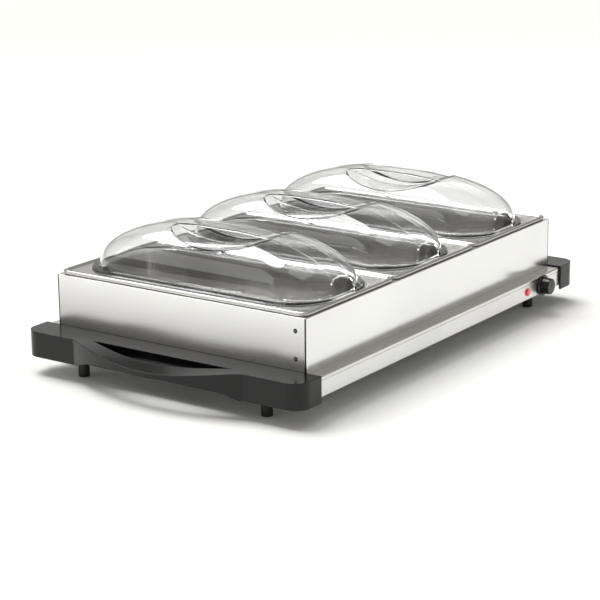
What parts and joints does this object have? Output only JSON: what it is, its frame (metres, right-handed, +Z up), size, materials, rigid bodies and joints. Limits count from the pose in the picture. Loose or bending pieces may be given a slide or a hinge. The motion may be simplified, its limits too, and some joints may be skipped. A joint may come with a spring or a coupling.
{
  "type": "countertop buffet server",
  "caption": "Electric warming tray with end handles, carrying a lift-off stainless frame of deep pans under clear domed lids.",
  "frame": {"origin": "centre of the footprint, on the table", "axes": "+X runs to the right along the control side, -Y is the control side, +Z is up"},
  "size_m": [0.6766, 0.405, 0.174],
  "materials": {
    "tray_steel": "fine brushed along the length",
    "rail_satin": "satin",
    "frame_steel": "bright, very fine brush",
    "pan_steel": "satin inside, polished rim",
    "rivet_steel": "polished",
    "galvanised_sheet": "zinc-coated sheet",
    "black_moulding": "satin gloss phenolic moulding",
    "foot_rubber": "matt",
    "zinc_screw": "zinc plated",
    "spreader_aluminium": "mill finish",
    "element_sheath": "heat-darkened sheath",
    "phenolic": "matt",
    "shaft_steel": "turned",
    "knob_rim": "bright bevelled dial ring",
    "knob_black": "gloss",
    "lamp_red": "gloss",
    "lamp_lens": "clear red",
    "bulb_glass": "clear",
    "lead_sleeve": "glass-fibre sleeve",
    "lid_clear": "clear polycarbonate"
  },
  "bodies": {
    "warming_tray": {"tray_top_plate": "tray_steel", "front_rail": "rail_satin", "rear_rail": "rail_satin", "bottom_cover": "galvanised_sheet", "left_end_handle": "black_moulding", "right_end_handle": "black_moulding", "foot_left_front": "foot_rubber", "foot_left_rear": "foot_rubber", "foot_right_front": "foot_rubber", "foot_right_rear": "foot_rubber", "foot_screws": "zinc_screw", "handle_screws": "zinc_screw", "rail_screws": "zinc_screw", "heat_spreader": "spreader_aluminium", "heating_element": "element_sheath", "element_clips": "zinc_screw", "heat_reflector": "spreader_aluminium", "thermostat_body": "phenolic", "thermostat_nut": "zinc_screw", "indicator_bezel": "lamp_red", "indicator_lens": "lamp_lens", "indicator_bulb": "bulb_glass", "cord_gland": "black_moulding", "terminal_block": "phenolic", "thermal_cutout": "shaft_steel", "internal_leads": "lead_sleeve"},
    "buffet_frame": {"front_panel": "frame_steel", "rear_panel": "frame_steel", "left_end_panel": "frame_steel", "right_end_panel": "frame_steel", "left_pan_divider": "frame_steel", "right_pan_divider": "frame_steel", "corner_rivets": "rivet_steel"},
    "knob": {"control_knob": "knob_black", "knob_skirt": "knob_rim", "thermostat_shaft": "shaft_steel"},
    "pan_left_body": {"pan_left": "pan_steel"},
    "lid_left_body": {"lid_left": "lid_clear"},
    "pan_middle_body": {"pan_middle": "pan_steel"},
    "lid_middle_body": {"lid_middle": "lid_clear"},
    "pan_right_body": {"pan_right": "pan_steel"},
    "lid_right_body": {"lid_right": "lid_clear"}
  },
  "joints": [
    {"name": "frame_lift", "type": "slide", "parent": "warming_tray", "child": "buffet_frame", "axis": [0, 0, 1], "range_m": [0, 0.08]},
    {"name": "knob_turn", "type": "hinge", "parent": "warming_tray", "child": "knob", "pos_m": [0.2273, -0.19, 0.0375], "axis": [0, 1, 0], "range_deg": [0, 270]},
    {"name": "pan_left_lift", "type": "slide", "parent": "buffet_frame", "child": "pan_left_body", "axis": [0, 0, 1], "range_m": [0, 0.13]},
    {"name": "lid_left_lift", "type": "slide", "parent": "pan_left_body", "child": "lid_left_body", "axis": [0, 0, 1], "range_m": [0, 0.07]},
    {"name": "pan_middle_lift", "type": "slide", "parent": "buffet_frame", "child": "pan_middle_body", "axis": [0, 0, 1], "range_m": [0, 0.13]},
    {"name": "lid_middle_lift", "type": "slide", "parent": "pan_middle_body", "child": "lid_middle_body", "axis": [0, 0, 1], "range_m": [0, 0.07]},
    {"name": "pan_right_lift", "type": "slide", "parent": "buffet_frame", "child": "pan_right_body", "axis": [0, 0, 1], "range_m": [0, 0.13]},
    {"name": "lid_right_lift", "type": "slide", "parent": "pan_right_body", "child": "lid_right_body", "axis": [0, 0, 1], "range_m": [0, 0.07]}
  ]
}
